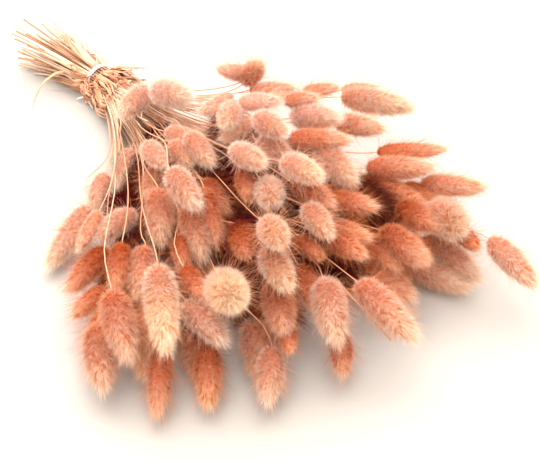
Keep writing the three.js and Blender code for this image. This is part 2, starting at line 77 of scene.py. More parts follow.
FORWARD = np.array([
    -math.sin(AZIMUTH) * math.cos(ELEVATION),
    math.cos(AZIMUTH) * math.cos(ELEVATION),
    -math.sin(ELEVATION),
])
RIGHT = np.array([math.cos(AZIMUTH), math.sin(AZIMUTH), 0.0])
UP = np.cross(RIGHT, FORWARD)


def ray(pixel):
    """The direction through a pixel, one unit deep."""
    return FORWARD + (pixel[0] - CENTRE[0]) / FOCAL * RIGHT + (CENTRE[1] - pixel[1]) / FOCAL * UP


EYE = -ORIGIN_DEPTH * ray(ORIGIN_PIXEL)


def at_height(pixel, height):
    """The point at this height above the surface that a pixel shows."""
    return EYE + (height - EYE[2]) / ray(pixel)[2] * ray(pixel)


def unit(vectors):
    """Vectors made one unit long."""
    return vectors / np.maximum(np.linalg.norm(vectors, axis=-1, keepdims=True), 1e-12)


def chance(n):
    """A repeatable number from 0 to 1 for each whole number."""
    wide = math.sin(n * 12.9898 + 4.1414) * 43758.5453
    return wide - math.floor(wide)


def mix(a, b, share):
    return a + (b - a) * share


def drawn(low, high, n):
    """A repeatable number between two others for each whole number."""
    return mix(low, high, chance(n))


# The heads, row by row from the string outwards: name, pixels of the base and the tip, width in
# pixels, height of the base, its dye with painted light and shade, from -1 for a head lightened
# and paled by painted light to 0 for pale peach and 1 for strong coral whose base is darkened by
# painted shade, how bleached its tip is, from 0 to 1, and the head that it is pressed against.
SEEN = [
    ("a1", 147, 90, 120, 116, 27, 45, -0.7), ("a2", 156, 90, 190, 98, 32, 52, -1.2),
    ("a3", 131, 150, 117, 187, 20, 30, -0.4), ("a4", 105, 175, 93, 213, 24, 22, -0.3),
    ("a5", 88, 208, 48, 268, 28, 20, -0.2, 0.6),
    ("a6", 98, 212, 78, 252, 18, 30, None, None, "a7"),
    ("a7", 133, 214, 96, 238, 28, 45, -0.2, 0.5), ("a8", 148, 146, 162, 165, 24, 48, -0.5),
    ("a9", 156, 170, 147, 196, 22, 42, 0.3), ("a10", 168, 132, 200, 142, 22, 55, -0.4),
    ("a11", 190, 135, 213, 165, 26, 60, -0.3),
    ("a12", 172, 145, 190, 165, 22, 45, 0, None, "a11"),
    ("a13", 172, 172, 197, 207, 30, 60, -0.2, 0.5), ("a14", 158, 192, 162, 245, 32, 50, 0.3),
    ("a15", 190, 208, 203, 262, 34, 60, 0.35, 0.6),
    ("a15b", 205, 190, 218, 245, 24, 50, 0.8, None, "a15"),
    ("a16", 205, 182, 228, 212, 24, 48, 0.9), ("b1a", 247, 75, 216, 68, 20, 68, -1),
    ("b1b", 246, 80, 260, 64, 24, 66, 0.3, None, "b1a"), ("b2", 232, 96, 198, 114, 18, 72, -0.6),
    ("b3", 232, 108, 226, 126, 27, 72, -0.6), ("b4", 250, 90, 297, 88, 18, 62, -0.3),
    ("b5", 240, 103, 281, 101, 22, 72, -1, 0.4), ("b6", 258, 118, 284, 133, 27, 75, -0.5, 0.5),
    ("b7", 250, 122, 222, 140, 22, 62, -0.4, None, "b3"),
    ("b8", 295, 118, 340, 118, 32, 72, -1.2, 0.5),
    ("b8b", 286, 100, 318, 98, 20, 62, None, None, "b8"),
    ("b9", 303, 93, 340, 87, 18, 60, 0.1, 0.4), ("b10", 343, 97, 415, 108, 30, 55, 0, 0.75),
    ("b10b", 342, 90, 377, 87, 14, 45, None, None, "b10"),
    ("b11", 335, 122, 385, 130, 26, 60, 0.2), ("b12", 262, 142, 290, 158, 28, 66, -0.3, 0.5),
    ("b13", 235, 150, 263, 165, 28, 72, -0.6, 0.6), ("b14", 286, 162, 320, 178, 30, 76, -0.5, 0.8),
    ("b15", 320, 152, 355, 185, 34, 74, 0, 0.6), ("b16", 270, 186, 276, 202, 33, 72, -0.3, 0.45),
    ("b17", 240, 172, 246, 200, 22, 55, 0.9, None, "b16"),
    ("b18", 298, 185, 332, 205, 30, 64, 0.7, 0.4),
    ("b19", 290, 138, 350, 140, 24, 62, 0.5, None, "b15"),
    ("b20", 262, 92, 290, 100, 16, 66, None, None, "b4"),
    ("c1", 378, 152, 447, 150, 20, 50, 0.6, 0.6), ("c2", 368, 168, 434, 168, 28, 52, 0.4, 0.6),
    ("c3", 422, 184, 487, 188, 26, 40, 0.2, 0.65),
    ("c4", 362, 180, 425, 205, 28, 42, 0.9, None, "c2"), ("c5", 438, 211, 460, 232, 40, 42, 0.2),
    ("c6", 385, 232, 427, 262, 34, 42, 0.7, 0.6), ("c7", 328, 200, 377, 208, 28, 58, 0.8, 0.5),
    ("c8", 325, 228, 370, 238, 26, 50, 0.7, 0.75),
    ("c9", 405, 185, 438, 200, 18, 38, 1, None, "c3"), ("c10", 425, 240, 480, 280, 34, 24, 0.15),
    ("c11", 460, 232, 478, 249, 20, 28, 1, None, "c5"),
    ("c12", 491, 240, 537, 287, 30, 38, -0.1, 0.5),
    ("c13", 365, 240, 398, 272, 28, 34, 0.9, None, "c6"),
    ("c14", 400, 208, 436, 228, 28, 34, 1, None, "c5"), ("d1", 105, 250, 68, 292, 28, 30, 1),
    ("d2", 103, 290, 72, 318, 24, 24, 0.7), ("d3", 102, 315, 88, 345, 20, 16, 0.7, None, "d5"),
    ("d4", 112, 294, 128, 360, 38, 45, 0.4, 0.5), ("d5", 98, 327, 103, 390, 38, 30, 0.3, 0.5),
    ("d6", 148, 250, 140, 298, 30, 50, 0.3), ("d7", 158, 268, 166, 352, 38, 58, None, 1),
    ("d8", 162, 350, 157, 417, 28, 20, 0.6, 0.5), ("d9", 208, 345, 208, 408, 32, 22, 0.8, 0.75),
    ("d10", 188, 305, 225, 345, 34, 46, -0.3, 0.4),
    ("d11", 118, 245, 112, 290, 26, 34, 0.9, None, "d6"),
    ("e1", 222, 284, 234, 302, 44, 48, None, 0.95), ("e2", 268, 225, 281, 243, 32, 66, None, 0.7),
    ("e3", 240, 228, 246, 256, 30, 56, 1.5, 0.4), ("e4", 268, 252, 288, 288, 34, 58, None, 0.75),
    ("e5", 262, 250, 266, 273, 20, 45, 0.9, None, "e4"),
    ("e6", 275, 285, 284, 332, 38, 50, 0.65, 0.45),
    ("e7", 285, 325, 290, 352, 22, 24, 1, None, "e6"),
    ("e8", 308, 208, 330, 236, 28, 60, None, 0.6), ("e9", 298, 240, 322, 258, 22, 50, 0.9),
    ("e10", 325, 282, 337, 345, 38, 50, 0.1, 0.55), ("e11", 340, 335, 343, 376, 26, 18, 0.6, 0.5),
    ("e12", 360, 284, 416, 340, 36, 46, 0.2, 0.6), ("e13", 272, 350, 268, 405, 32, 24, 0.1, 0.5),
    ("e14", 185, 268, 205, 300, 24, 38, 0.9, None, "d10"),
    ("e15", 178, 238, 184, 272, 22, 42, 0.9, None, "a15"),
    ("e16", 300, 268, 318, 310, 28, 36, 1, None, "e10"),
    ("e17", 330, 238, 364, 256, 26, 48, 0.8, 0.6, "c8"),
]

# The heads under and behind those: direction of the base from the string, in degrees from -Y
# towards +X, its distance and its height, how far the head turns aside and rises, its size, and
# the dye with painted light and shade of those that can be seen.
HIDDEN = [
    (-18, 301, 16, -11, -8, 1.03, 0.2), (-10, 180, 39, -15, -1, 1),
    (5.9, 246, 35.2, -14, 3.1, 1.07), (-30, 167, 22, 3, 1, 1.06),
    (-29, 278, 19, -11, -5, 1.08, 0.5), (-2, 297, 25, -3, -2, 0.96, 0.6),
    (-4, 277, 12, 15, 0, 1, 0.6), (-16, 269, 17, -15, -5, 0.98), (-17, 237, 21, 12, 6, 1.06),
    (-6, 252, 20, 13, 2, 1.06), (-4, 222, 35, -5, -5, 1.04), (-11, 204, 28, 6, -4, 1),
    (4, 299, 10.4, 9, 0, 1.05, 0.15), (-24, 284, 9.8, -9, 0, 0.97, 0.5),
    (-8, 155, 38, 3, -4, 1.04), (-23, 198, 28, -9, 2, 0.97), (-4, 206, 44, -8, 5, 1),
    (5, 248, 26, 1, -4, 1.04), (-26, 115, 17, 11, -5, 0.98), (-11, 136, 27, 1, 1, 1),
    (-5, 151, 42, 10, 6, 1), (-13, 102, 26, 3, -4, 1.03), (-15, 271, 18, 11, 2, 0.93),
    (-18, 226, 12, -5, 0, 1), (-25, 255, 18, 12, 4, 1.07), (3, 219, 36, -1, -8, 1.01),
    (0, 141, 49, 1, -4, 0.99), (-30, 255, 10.1, -10, 0, 1, 0.8),
    (5.9, 270.5, 12, 3, -1, 1.01, 0.3), (-33, 224, 10, 6, 0, 0.99), (5, 192, 41, -2, 2, 1),
]


class Head:
    """A head is its axis from base to tip, its dense half width, its dye with painted light and
    shade, and its bleach.
    """

    def __init__(self, name, base, tip, radius, pressed=(), deep=None, pale=None, hidden=False):
        self.name, self.base, self.tip, self.radius = name, base, tip, radius
        self.pressed = set(pressed)
        self.deep, self.pale, self.hidden = deep, pale, hidden

    @property
    def axis(self):
        return unit(self.tip - self.base)

    @property
    def buried(self):
        """Whether it only fills the gaps between the heads in front."""
        return self.hidden and self.deep is None


def seen_head(name, x, y, tip_x, tip_y, pixels, height, deep=None, pale=None, pressed=None):
    shortening, base_pixel, tip_pixel = 0.15, (x, y), (tip_x, tip_y)
    base = at_height(base_pixel, height)
    depth = (base - EYE) @ FORWARD
    width = pixels * depth / FOCAL
    seen = math.dist(base_pixel, tip_pixel)
    downward = max(0, (tip_pixel[1] - base_pixel[1]) / seen)
    length = max(seen * depth / FOCAL * (1 + shortening * downward), HEAD_LENGTH * width)
    line, offset = ray(tip_pixel), EYE - base
    a, b, c = line @ line, offset @ line, offset @ offset - length * length
    tip = EYE + (-b - math.sqrt(max(0, b * b - a * c))) / a * line
    return Head(name, base, tip, width * DENSE / 2, [pressed] if pressed else [], deep, pale)


def closest(start, end, points):
    """The nearest points to the given ones on lines from start to end."""
    along = end - start
    share = np.clip(((points - start) * along).sum(-1) / (along * along).sum(-1), 0, 1)
    return start + along * share[..., None]


def between(base, tip, radius, other_base, other_tip, other_radius):
    """What parts the axes of heads, each kept a radius inside its ends."""
    rounds = 4
    along = unit(tip - base) * radius[..., None]
    other_along = unit(other_tip - other_base) * other_radius[..., None]
    start, end = base + along, tip - along
    other_start, other_end = other_base + other_along, other_tip - other_along
    far = (other_start + other_end) / 2
    for _ in range(rounds):
        near = closest(start, end, far)
        far = closest(other_start, other_end, near)
    return near - far, np.linalg.norm(near - far, axis=-1)


def settle(heads):
    """Heads that would run into each other part, and pressed ones meet. Each one keeps to its
    place in the photograph and mostly gives way in depth."""
    rounds, ease, hold, tip_rise = 220, 0.3, 0.25, 0.3
    base = np.array([head.base for head in heads])
    tip = np.array([head.tip for head in heads])
    radius = np.array([head.radius for head in heads])
    homes = base.copy()
    i, j = np.tril_indices(len(heads), -1)
    names = [head.name for head in heads]
    pressed = np.zeros((len(heads), len(heads)), bool)
    for k, head in enumerate(heads):
        for name in head.pressed:
            pressed[k, names.index(name)] = pressed[names.index(name), k] = True
    touch = pressed[i, j]
    for _ in range(rounds):
        apart, distance = between(base[i], tip[i], radius[i], base[j], tip[j], radius[j])
        widths = radius[i] + radius[j]
        missing = np.where(touch, widths * PRESSED[1], widths + HEAD_GAP) - distance
        push = np.where(touch | (missing >= 0), ease * missing / np.maximum(distance, 0.01), 0)
        move = np.zeros_like(base)
        np.add.at(move, i, apart * push[:, None])
        np.add.at(move, j, -apart * push[:, None])
        tip_height = tip[:, 2] + move[:, 2] + tip_rise * radius
        low = np.minimum(base[:, 2] + move[:, 2], tip_height) - radius + PRESSED_FLAT
        move[:, 2] -= np.minimum(low, 0)
        strayed = base + move - homes
        sight = unit(base - EYE)
        move -= hold * (strayed - sight * (strayed * sight).sum(-1, keepdims=True))
        base, tip = base + move, tip + move
    for k in range(len(heads)):
        others = [n for n in range(len(heads)) if n != k and not pressed[k, n]]
        for n in others:
            _, distance = between(base[k], tip[k], radius[k], base[n], tip[n], radius[n])
            share = (distance - HEAD_GAP) / (radius[k] + radius[n])
            if share < 1:
                radius[[k, n]] *= share
    for k, head in enumerate(heads):
        head.base, head.tip, head.radius = base[k], tip[k], radius[k]
    return heads


def fill(seen):
    """The seen heads and the hidden ones, each of which is pressed against those that it meets."""
    heads = list(seen)
    for n, (direction, reach, height, sway, rise, size, *deep) in enumerate(HIDDEN):
        heading, facing = math.radians(direction), math.radians(direction + sway)
        base = np.array([reach * math.sin(heading), -reach * math.cos(heading), height])
        along = unit(np.array([math.sin(facing), -math.cos(facing), math.tan(math.radians(rise))]))
        tip = base + along * HIDDEN_LENGTH * size
        head = Head(f"f{n + 1}", base, tip, HIDDEN_WIDTH * size / 2, (), *deep, hidden=True)
        others = [np.array([getattr(other, key) for other in heads])
                  for key in ("base", "tip", "radius")]
        _, distance = between(base[None], tip[None], np.array([head.radius]), *others)
        share = distance / (head.radius + others[2])
        met = (share > PRESSED[0]) & (share < PRESSED[1])
        head.pressed = {heads[k].name for k in np.flatnonzero(met)}
        heads.append(head)
    return heads


def neck_places(heads):
    """Where each stem passes through the neck: places spread evenly over the round bundle, given
    to the stems so that those that fan out side by side also lie side by side."""
    golden, rounds = math.pi * (3 - math.sqrt(5)), 30
    room = NECK_RADIUS - STEM_RADIUS[0]
    count = len(heads)
    n = np.arange(count)
    out = room * np.sqrt((n + 0.5) / count)
    places = np.stack([out * np.cos(n * golden), 0 * out, out * np.sin(n * golden)], axis=1)

    def ranked(values):
        rank = np.empty(count)
        rank[np.argsort(values, kind="stable")] = 2 * (n + 0.5) / count - 1
        return rank

    across = ranked([math.atan2(head.base[0], -head.base[1]) for head in heads])
    upright = ranked([(head.base[2] - AXIS_HEIGHT) / np.linalg.norm(head.base) for head in heads])
    wanted = np.stack([
        room * across * np.sqrt(1 - upright**2 / 2),
        0 * across,
        room * upright * np.sqrt(1 - across**2 / 2),
    ], axis=1)
    miss = ((wanted[:, None] - places[None]) ** 2).sum(-1)
    spot = list(range(count))
    for _ in range(rounds):
        for i in range(count):
            for j in range(i):
                a, b = spot[i], spot[j]
                if miss[i, b] + miss[j, a] < miss[i, a] + miss[j, b]:
                    spot[i], spot[j] = b, a
    return places[spot] + [0, 0, AXIS_HEIGHT]


def bezier(points, shares):
    """Points on a cubic curve."""
    a, b, c, d = points
    t = np.asarray(shares)[:, None]
    return a * (1 - t) ** 3 + 3 * b * t * (1 - t) ** 2 + 3 * c * t**2 * (1 - t) + d * t**3


def stem_path(head, neck, heads):
    """A stem's path from the neck to its head, bent clear of the heads that it passes."""
    steps, spray, leave_share, sag_share = 16, 0.4, 0.45, 0.12
    arrive_share, arrive_most, arrive_least = 0.3, 28, 0.3
    rounds, ease, reach = 120, 0.3, 30
    end = head.base - head.axis * SEAT_GAP
    start = np.array([neck[0], -NECK_HALF_LENGTH, neck[2]])
    span = np.linalg.norm(end - start)
    onward = unit(end - start)
    leave = mix(onward, np.array([0, -1, 0]), spray) * [1, 1, 0]
    turn = mix(arrive_least, 1, max(0, head.axis @ onward))
    arrive = min(arrive_most, span * arrive_share) * turn
    sag = np.array([0, 0, sag_share * max(0, end[2] - start[2])])
    curve = (start, start + leave * span * leave_share, end - head.axis * arrive - sag, end)
    path = bezier(curve, np.linspace(0, 1, steps + 1))
    others = [other for other in heads if other is not head]
    inner_start = np.array([other.base + other.axis * other.radius for other in others])
    inner_end = np.array([other.tip - other.axis * other.radius for other in others])
    wanted = np.array([other.radius * (1 + TUFT) for other in others])
    wanted += STEM_RADIUS[0] + STEM_CLEARANCE
    near = closest(inner_start[:, None], inner_end[:, None], path[None])
    passed = (np.linalg.norm(near - path, axis=-1) < reach).any(axis=1)
    inner_start, inner_end, wanted = (
        values[passed, None] for values in (inner_start, inner_end, wanted))
    for _ in range(rounds):
        inside = path[2:-2]
        even = (4 * (path[1:-3] + path[3:-1]) - path[:-4] - path[4:]) / 6
        away = inside[None] - closest(inner_start, inner_end, inside[None])
        far = np.linalg.norm(away, axis=-1)
        push = (away * (np.maximum(wanted / far, 1) - 1)[..., None]).sum(0)
        moved = mix(inside, even, ease) + push
        moved[:, 2] = np.maximum(moved[:, 2], STEM_RADIUS[0] + SEAT_GAP)
        path = np.concatenate([path[:2], moved, path[-2:]])
    return path


def cut_end(neck, k):
    """The cut end of a stem, behind the string."""
    sway, lean, pressing = 3, 8, 0.25
    length = mix(*CUT_LENGTH, chance(k + 200))
    share = length / CUT_LENGTH[1]
    spread = 1 + CUT_SPREAD * share
    x = neck[0] * spread + sway * (chance(k + 400) - 0.5) - lean * share
    z = AXIS_HEIGHT + (neck[2] - AXIS_HEIGHT) * spread + sway * (chance(k + 500) - 0.5)
    lowest = STEM_RADIUS[0] + SEAT_GAP
    return np.array([x, length, z if z >= lowest else lowest + pressing * (lowest - z)])


heads = fill(settle([seen_head(*row) for row in SEEN]))
necks = neck_places(heads)
paths = [stem_path(head, neck, heads) for head, neck in zip(heads, necks)]


# Colours, nodes and meshes


def linear(code):
    """An sRGB hex value as the linear colour that a material takes."""
    channels = [int(code[k : k + 2], 16) / 255 for k in (0, 2, 4)]
    lit = [c / 12.92 if c <= 0.04045 else ((c + 0.055) / 1.055) ** 2.4 for c in channels]
    return (*lit, 1.0)


def add(tree, kind, inputs=None, **settings):
    """Adds a node with its settings. Each input is a value, another node's output, or a node whose
    first output it takes."""
    made = tree.nodes.new(kind)
    for name, value in settings.items():
        setattr(made, name, value)
    for name, value in (inputs or {}).items():
        if isinstance(value, bpy.types.Node):
            value = value.outputs[0]
        if isinstance(value, bpy.types.NodeSocket):
            tree.links.new(value, made.inputs[name])
        else:
            made.inputs[name].default_value = value
    return made


def placed(name, data):
    """An object in the scene."""
    made = bpy.data.objects.new(name, data)
    bpy.context.scene.collection.objects.link(made)
    return made


def piece(name, points, faces, material, attributes=None, smooth=True):
    """A mesh object from points in millimetres, with a number or a vector for each point."""
    mesh = bpy.data.meshes.new(name)
    mesh.from_pydata((np.asarray(points) * MM).tolist(), [], faces)
    for key, values in (attributes or {}).items():
        values = np.asarray(values, np.float32)
        vector = values.ndim == 2
        stored = mesh.attributes.new(key, "FLOAT_VECTOR" if vector else "FLOAT", "POINT")
        stored.data.foreach_set("vector" if vector else "value", values.ravel())
    mesh.materials.append(material)
    if smooth:
        mesh.shade_smooth()
    else:
        mesh.shade_flat()
    return placed(name, mesh)


def square_to(along):
    """Two directions square to an axis and to each other."""
    side = np.cross([0, 0, 1], along)
    if np.linalg.norm(side) < 0.05:
        side = np.array([1.0, 0, 0])
    side = unit(side)
    return side, unit(np.cross(along, side))


def joined(parts):
    """Points, faces and attributes of several meshes as one."""
    points, faces, attributes, start = [], [], {}, 0
    for part_points, part_faces, part_attributes in parts:
        points.append(part_points)
        faces += [[n + start for n in face] for face in part_faces]
        for key, values in part_attributes.items():
            attributes.setdefault(key, []).append(values)
        start += len(part_points)
    return np.concatenate(points), faces, {key: np.concatenate(v) for key, v in attributes.items()}


def ring_faces(rings, around):
    """Faces of rings of points round an axis, with the points of the two poles last."""
    faces = []
    for k in range(rings - 1):
        for j in range(around):
            n = (j + 1) % around
            a = k * around
            faces.append([a + j, a + n, a + around + n, a + around + j])
    start, last = rings * around, (rings - 1) * around
    for j in range(around):
        n = (j + 1) % around
        faces += [[start, n, j], [start + 1, last + j, last + n]]
    return faces


# Materials

PIT_DYE_AND_SHADE = 0.9  # how much more dye, and with it painted shade, the short hairs in the pits between the tufts take
SEE_THROUGH = 0.3  # share of a hair's light that comes through it


def blank_material(name):
    """An empty material, and what adds nodes to it."""
    material = bpy.data.materials.new(name)
    material.use_nodes = True
    material.node_tree.nodes.clear()
    return material, partial(add, material.node_tree)


def ramp(made, stops):
    """Gives a colour ramp its stops."""
    elements = made.color_ramp.elements
    while len(elements) < len(stops):
        elements.new(1.0)
    for element, (place, code) in zip(elements, stops):
        element.position = place
        element.color = linear(code)


def plume_material():
    """Dyed bunny tail awns: fine dry plant hairs, dull and a little see-through, dark coral at
    their roots and pale at their tips, and bleached to cream where the dye ran out. The dark roots
    are partly dye and partly painted shade, and the colour carries painted shade in the pits, at
    covered bases and on buried heads, and painted light on some heads."""
    material, node = blank_material("dyed_plume_hairs")
    rise, pale, tint, strand, shade, grown = (
        node("ShaderNodeAttribute", attribute_name=key).outputs["Fac"]
        for key in ("rise", "pale", "tint", "strand", "shade", "grown")
    )
    height = node("ShaderNodeMath", {0: rise, 1: grown}, operation="MULTIPLY")
    dyed = node("ShaderNodeValToRGB", {"Fac": height})
    # The dark stops near the roots are partly dye and partly painted shade between the hairs
    ramp(dyed, [(0, "C6481C"), (0.07, "E69468"), (0.24, "E6CDB6"), (1, "E8DFD6")])
    bleached = node("ShaderNodeValToRGB", {"Fac": height})
    ramp(bleached, [(0, "E08E4A"), (0.07, "EEC698"), (0.22, "F4E2C2"), (1, "F5EEDA")])
    base = node("ShaderNodeMix", {"Factor": pale, 6: dyed, 7: bleached}, data_type="RGBA")
    short = node("ShaderNodeMath", {0: 1.0, 1: grown}, operation="SUBTRACT")
    dye_and_shade_share = node("ShaderNodeMath", {0: short, 1: PIT_DYE_AND_SHADE, 2: tint}, operation="MULTIPLY_ADD")
    dye = node("ShaderNodeValToRGB", {"Fac": dye_and_shade_share})
    # Its dark crimson end, which buried heads and covered bases reach, is painted shade
    ramp(dye, [(0, "FFFFFF"), (0.22, "FFD9C6"), (0.5, "FAAA70"), (1, "A82020")])
    redder = node("ShaderNodeMix", {"Factor": 1.0, 6: base.outputs[2], 7: dye},
                 data_type="RGBA", blend_type="MULTIPLY")
    uneven = node("ShaderNodeMapRange", {"Value": strand, "To Min": 0.8, "To Max": 1.1})
    # The shade is painted light and shade: darker in the gaps and at covered bases, lighter on
    # some heads
    value = node("ShaderNodeMath", {0: uneven, 1: shade}, operation="MULTIPLY")
    # A head given painted light has a shade above one, and is drawn less vivid for it
    paler_in_painted_light = node("ShaderNodeMapRange", {
        "Value": shade, "From Min": 1.0, "From Max": 1.13, "To Min": 1.0, "To Max": 0.72,
    })
    colour = node("ShaderNodeHueSaturation", {
        "Color": redder.outputs[2], "Value": value, "Saturation": paler_in_painted_light,
    })
    hair = node("ShaderNodeBsdfPrincipled", {
        "Base Color": colour, "Roughness": 0.75, "Specular IOR Level": 0.25,
    })
    through = node("ShaderNodeBsdfTranslucent", {"Color": colour})
    both = node("ShaderNodeMixShader", {"Fac": SEE_THROUGH, 1: hair, 2: through})
    node("ShaderNodeOutputMaterial", {"Surface": both})
    return material


def straw_material():
    """Dried grass stems and leaf sheaths: smooth hollow straw with a waxy satin skin, from cream
    to tan, and stained peach where the dye reached it."""
    material, node = blank_material("dried_straw")
    tone, dyed = (
        node("ShaderNodeAttribute", attribute_name=key).outputs["Fac"]
        for key in ("tone", "dyed")
    )
    straw = node("ShaderNodeValToRGB", {"Fac": tone})
    ramp(straw, [(0, "7A4A30"), (0.3, "B2805A"), (0.65, "CAA484"), (1, "E0CCB4")])
    colour = node("ShaderNodeMix", {"Factor": dyed, 6: straw, 7: linear("E59B76")},
                 data_type="RGBA")
    skin = node("ShaderNodeBsdfPrincipled", {
        "Base Color": colour.outputs[2], "Roughness": 0.45, "Specular IOR Level": 0.4,
    })
    node("ShaderNodeOutputMaterial", {"Surface": skin})
    return material


def plain_material(name, code, roughness, gloss):
    """A dull material of one colour."""
    material, node = blank_material(name)
    skin = node("ShaderNodeBsdfPrincipled", {
        "Base Color": linear(code), "Roughness": roughness, "Specular IOR Level": gloss,
    })
    node("ShaderNodeOutputMaterial", {"Surface": skin})
    return material


PLUME = plume_material()
STRAW = straw_material()
# Undyed twisted cotton string: matt off-white threads
STRING = plain_material("twisted_cotton_string", "E9E0D6", 0.9, 0.2)
# Matt paper under the bunch, which shows no gloss. In the light of this room it turns out white
PAPER = plain_material("matt_white_paper", "A8A29B", 1.0, 0.0)

# Heads

# Half widths along a head's dense core, as shares of its full half width
CORE_PROFILE = ((0, 0.05, 0.13, 0.25, 0.4, 0.55, 0.7, 0.83, 0.93, 0.98),
                (0.3, 0.58, 0.82, 0.96, 1, 0.96, 0.85, 0.66, 0.42, 0.22))
CORE_WIDTH = 0.72  # of the full half width, which the hairs make up
BURIED_CORE_WIDTH = 0.85
CORE_AROUND = 12
# A hair of each kind, one unit long and wide, that stands along +Z: its points, their place in the
# colour from root to tip, and its faces
PILE_HAIR = ([(-0.5, 0, 0), (0.5, 0, 0), (0, 0, 1)], [0, 0, 1], [[0, 1, 2]])
AWN = ([(-0.5, 0, 0), (0.5, 0, 0), (-0.35, 0.07, 0.55), (0.35, 0.07, 0.55), (0, 0.24, 1)],
       [0.2, 0.2, 0.5, 0.5, 1], [[0, 1, 3], [0, 3, 2], [2, 3, 4]])
PILE_LENGTH = 0.46  # of the half width
BURIED_PILE = 1.9  # times as long, where it fills the gaps between the heads in front
PILE_WIDTH = 0.21
PILE_PER_AREA = 7.5  # hairs for each square millimetre of core
BURIED_CROWD = 0.4  # share of the hairs that a buried head has
UNDERSIDE_CROWD = 0.6  # share of the hairs that the underside of a head has
AWN_LENGTH = 21
AWN_GROWN = 0.66  # where an awn's length, and its dye with painted shade, lie between those of a pit and of a tuft
AWN_WIDTH = 0.13
AWN_PER_AREA = 0.46
HAIR_LENGTHS = (0.78, 1.15)  # shortest and longest hair of a kind
LOWEST_HAIR = 0.2  # above the surface
HIGHEST_HAIR = 102
CLUMP = 1.7  # across a tuft of hairs that lean together
CLUMPING = 0.8
PIT = 1.5  # across the pits of short hairs between the tufts
PIT_DEPTH = 0.56
PIT_EDGES = (0.34, 0.48)  # of the noise that makes the pits, at their floor and their rim
# Along a head: how far the hairs lean to its tip, in degrees, and the pile's length
LEAN = ((0, 0.2, 0.6, 0.85, 1), (20, 40, 48, 64, 84))
PILE_ALONG = ((0, 0.15, 0.65, 0.9, 1), (0.75, 1, 1.05, 1.6, 2.5))
# Dye with painted light and shade, and bleach, of the heads for which the tables give none. The
# strong crimson dye of the buried heads is painted shade for the gaps between the heads in front
USUAL_DYE_AND_LIGHT, BURIED_DYE_AND_SHADE = (0, 0.12), (1.6, 2.3)
USUAL_PALE = (0.4, 0.7)
# Painted shade: the dark value of a buried head's colour
BURIED_SHADE = 0.34
DEEP_SHADE = 0.22  # painted shade: how much darker a strong coral head is at its base
PAINTED_LIGHT_LIFT = 0.1  # painted light: how much lighter a head with a value below zero is


def tail_core(head, number):
    """The dense middle of a head, and for each of its points where a hair there points and how it
    is coloured, with painted light and shade."""
    covered_to, covered_curve, facing_down = 1.15, 1.5, -0.4
    bleach_start, bleach_early, bleach_span = 0.85, 0.6, 0.42
    dye_and_shade_strength, dye_at_tip, dye_and_shade_at_base = 0.5, 0.3, 0.85
    # The core takes the colour near the hair roots, partly dye and partly painted shade under the
    # hair
    core_rise, core_strand = 0.1, 0.5
    along = head.axis
    length = np.linalg.norm(head.tip - head.base)
    side, across = square_to(along)
    shares, widths = np.array(CORE_PROFILE)
    widths = widths * head.radius * (BURIED_CORE_WIDTH if head.buried else CORE_WIDTH)
    angles = (np.arange(CORE_AROUND) + chance(number)) * 2 * math.pi / CORE_AROUND
    spokes = np.cos(angles)[:, None] * side + np.sin(angles)[:, None] * across
    slope = np.gradient(widths, shares * length)
    top = length - head.radius * PILE_LENGTH
    rings = head.base + along * (shares * top)[:, None, None]
    rings = rings + spokes[None] * widths[:, None, None]
    outward = unit(spokes[None] - along * slope[:, None, None])
    lean = np.radians(np.interp(shares, *LEAN))[:, None, None]
    comb = unit(outward * np.cos(lean) + along * np.sin(lean))
    ends = np.stack([head.base, head.base + along * top])
    points = np.concatenate([rings.reshape(-1, 3), ends])
    outward = np.concatenate([outward.reshape(-1, 3), [-along, along]])
    comb = np.concatenate([comb.reshape(-1, 3), [-along, along]])
    place = np.concatenate([np.repeat(shares, CORE_AROUND), [0, 1]])
    pale, deep = head.pale, head.deep
    if pale is None:
        pale = 0.0 if head.buried else drawn(*USUAL_PALE, number + 40)
    if deep is None:
        deep = drawn(*BURIED_DYE_AND_SHADE, number + 60) if head.buried else drawn(*USUAL_DYE_AND_LIGHT, number + 80)
    # The bases lie deeper in the bunch than the tips, so painted shade darkens them and
    # strengthens their dye
    covered = np.clip(covered_to - place, 0, 1) ** covered_curve
    dye_and_shade_spread = np.where(head.buried, 1, dye_at_tip + dye_and_shade_at_base * covered)
    bleach_place = place - bleach_start + bleach_early * pale
    count = len(points)
    attributes = {
        "outward": outward,
        "comb": comb,
        "pale": pale * np.clip(bleach_place / bleach_span, 0, 1),
        # Dye with painted shade: stronger towards covered bases, and dark crimson for buried heads
        "tint": dye_and_shade_strength * max(0, deep) * dye_and_shade_spread,
        "reach": (BURIED_PILE if head.buried else 1) * head.radius * PILE_LENGTH * MM
                 * np.interp(place, *PILE_ALONG),
        "crowd": (BURIED_CROWD if head.buried else 1.0)
                 * np.where(outward[:, 2] < facing_down, UNDERSIDE_CROWD, 1.0),
        "rise": np.full(count, core_rise),
        "strand": np.full(count, core_strand),
        # Painted light and shade: the value of the colour, darker for buried heads and covered
        # bases, lighter for heads with a value below zero
        "shade": np.full(count, BURIED_SHADE) if head.buried else (
            1 - DEEP_SHADE * max(0, deep) * covered - PAINTED_LIGHT_LIFT * min(0, deep)),
        "grown": np.full(count, 1.0),
    }
    return points, ring_faces(len(shares), CORE_AROUND), attributes


